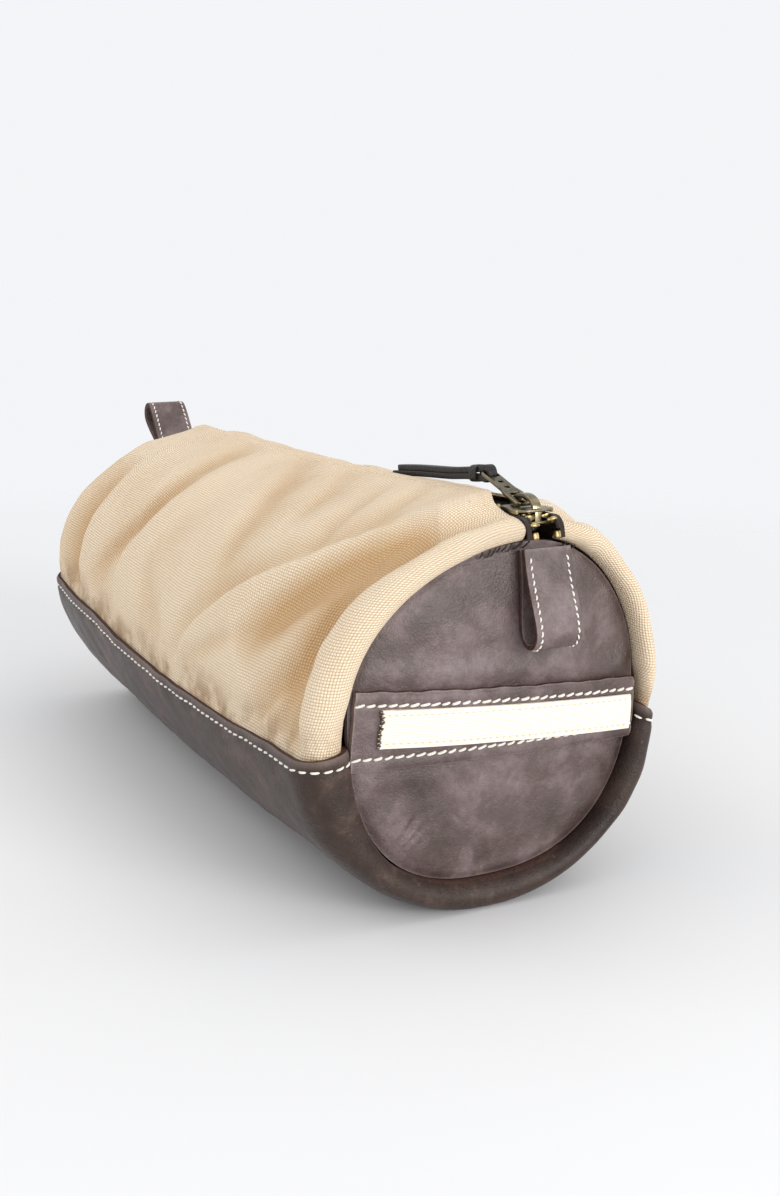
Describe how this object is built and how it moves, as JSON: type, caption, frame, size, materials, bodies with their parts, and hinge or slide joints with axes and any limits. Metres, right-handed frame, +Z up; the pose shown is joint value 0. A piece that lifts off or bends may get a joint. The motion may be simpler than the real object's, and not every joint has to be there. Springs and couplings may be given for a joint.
{
  "type": "shaving kit bag",
  "caption": "Barrel-shaped shaving kit bag: leather trough, canvas upper, round leather ends with webbing bands, ridge zipper with metal pull and leather thong, tab loops.",
  "frame": {"origin": "on the surface the bag stands on, under the middle of the whole object's box", "axes": "+X along the bag towards the end where the zipper is when closed, -Y its front side, +Z up"},
  "size_m": [0.343, 0.1422, 0.1501],
  "materials": {
    "trough_leather": "oiled pull-up leather, half matt",
    "end_leather": "oiled pull-up leather, half matt",
    "canvas": "heavy plain-weave duck, matt",
    "webbing": "cotton webbing, matt",
    "zipper_tape": "woven polyester tape, matt",
    "antique_brass": "antiqued, worn bright at the edges",
    "thong_leather": "dark waxed leather"
  },
  "bodies": {
    "bag": {"bottom_panel": "trough_leather", "canvas_panel_front": "canvas", "canvas_panel_back": "canvas", "end_panel_right": "end_leather", "end_panel_left": "end_leather", "end_band_right": "end_leather", "end_band_left": "end_leather", "webbing_strip_right": "webbing", "webbing_strip_left": "webbing", "zipper_tape_front": "zipper_tape", "zipper_tape_back": "zipper_tape", "zipper_teeth_front": "antique_brass", "zipper_teeth_back": "antique_brass", "top_stop_front": "antique_brass", "top_stop_back": "antique_brass", "bottom_stop": "antique_brass"},
    "slider": {"slider_body": "antique_brass", "slider_crown": "antique_brass"},
    "puller": {"puller": "antique_brass"},
    "thong": {"pull_thong": "thong_leather"},
    "tab_right": {"tab_loop_right": "end_leather"},
    "tab_left": {"tab_loop_left": "end_leather"}
  },
  "joints": [
    {"name": "slider_travel", "type": "slide", "parent": "bag", "child": "slider", "axis": [-0.9982, -0.0082, -0.0599], "range_m": [0, 0.266], "deforming": ["zipper_tape_front", "zipper_tape_back", "zipper_teeth_front", "zipper_teeth_back"]},
    {"name": "puller_swing", "type": "hinge", "parent": "slider", "child": "puller", "pos_m": [0.14832, 0.01789, 0.14059], "axis": [-0.0082, 1, 0], "range_deg": [0, 110]},
    {"name": "thong_swing", "type": "hinge", "parent": "puller", "child": "thong", "pos_m": [0.12389, 0.01769, 0.14717], "axis": [-0.0082, 1, 0], "range_deg": [0, 90]},
    {"name": "tab_right_lift", "type": "hinge", "parent": "bag", "child": "tab_right", "pos_m": [0.15943, 0.019, 0.1273], "axis": [0, -1, 0], "range_deg": [0, 76]},
    {"name": "tab_left_lift", "type": "hinge", "parent": "bag", "child": "tab_left", "pos_m": [-0.14447, 0.002, 0.115], "axis": [0, 1, 0], "range_deg": [-120, 0]}
  ]
}
